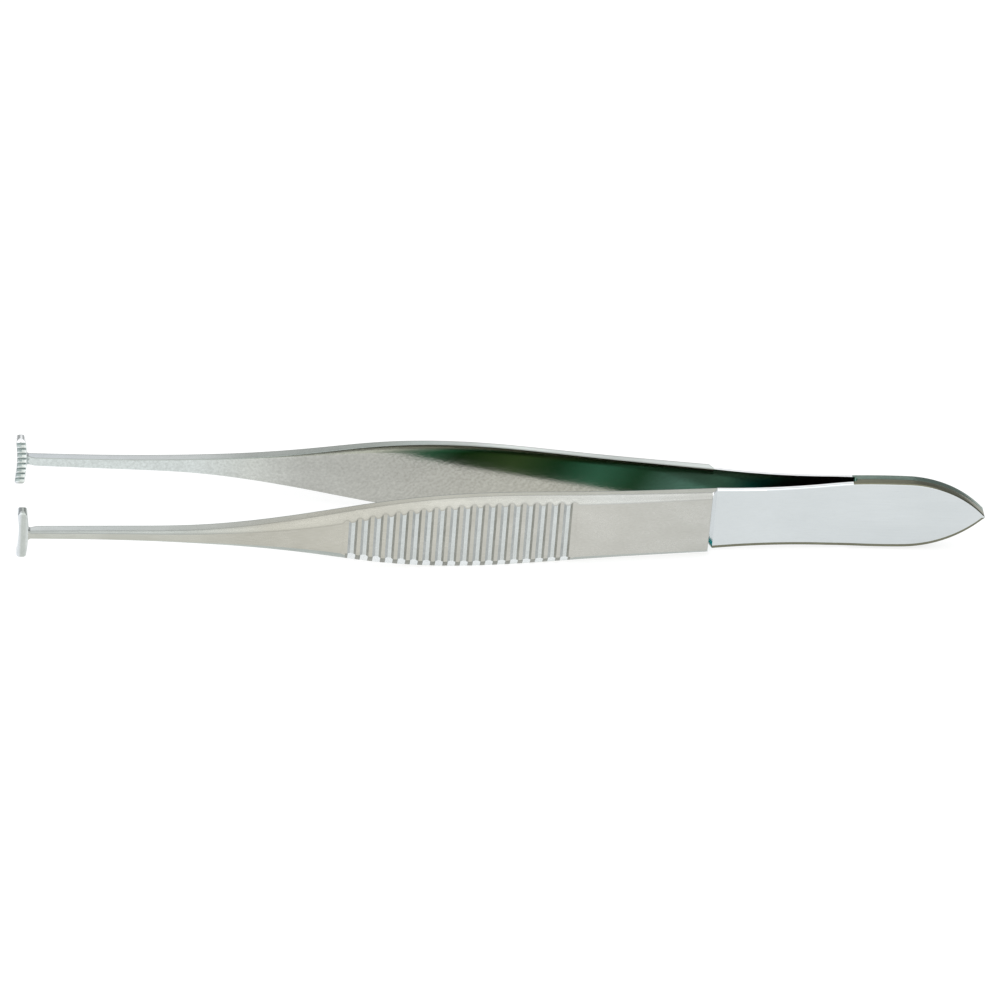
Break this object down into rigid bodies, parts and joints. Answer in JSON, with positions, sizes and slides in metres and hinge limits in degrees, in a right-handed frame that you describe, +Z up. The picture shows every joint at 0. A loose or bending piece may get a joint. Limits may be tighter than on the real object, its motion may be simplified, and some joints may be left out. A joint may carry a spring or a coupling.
{
  "type": "fixation thumb forceps",
  "caption": "Slim spring thumb forceps with ridged finger grips and toothed crossbar jaws, two steel arms welded at a pointed tail.",
  "frame": {"origin": "bottom of the box round the whole forceps, under the middle of its length and midway between the arms", "axes": "+X from the jaws to the tail, +Y from the front arm to the rear arm, +Z up across the width of the arms, which lie on their long edges"},
  "size_m": [0.108, 0.016, 0.0091],
  "materials": {
    "front_steel": "satin blade and grip, mirror-polished tail",
    "rear_steel": "satin blade and grip, mirror-polished tail"
  },
  "bodies": {
    "root": {"front_arm": "front_steel", "rear_arm": "rear_steel"}
  },
  "joints": []
}
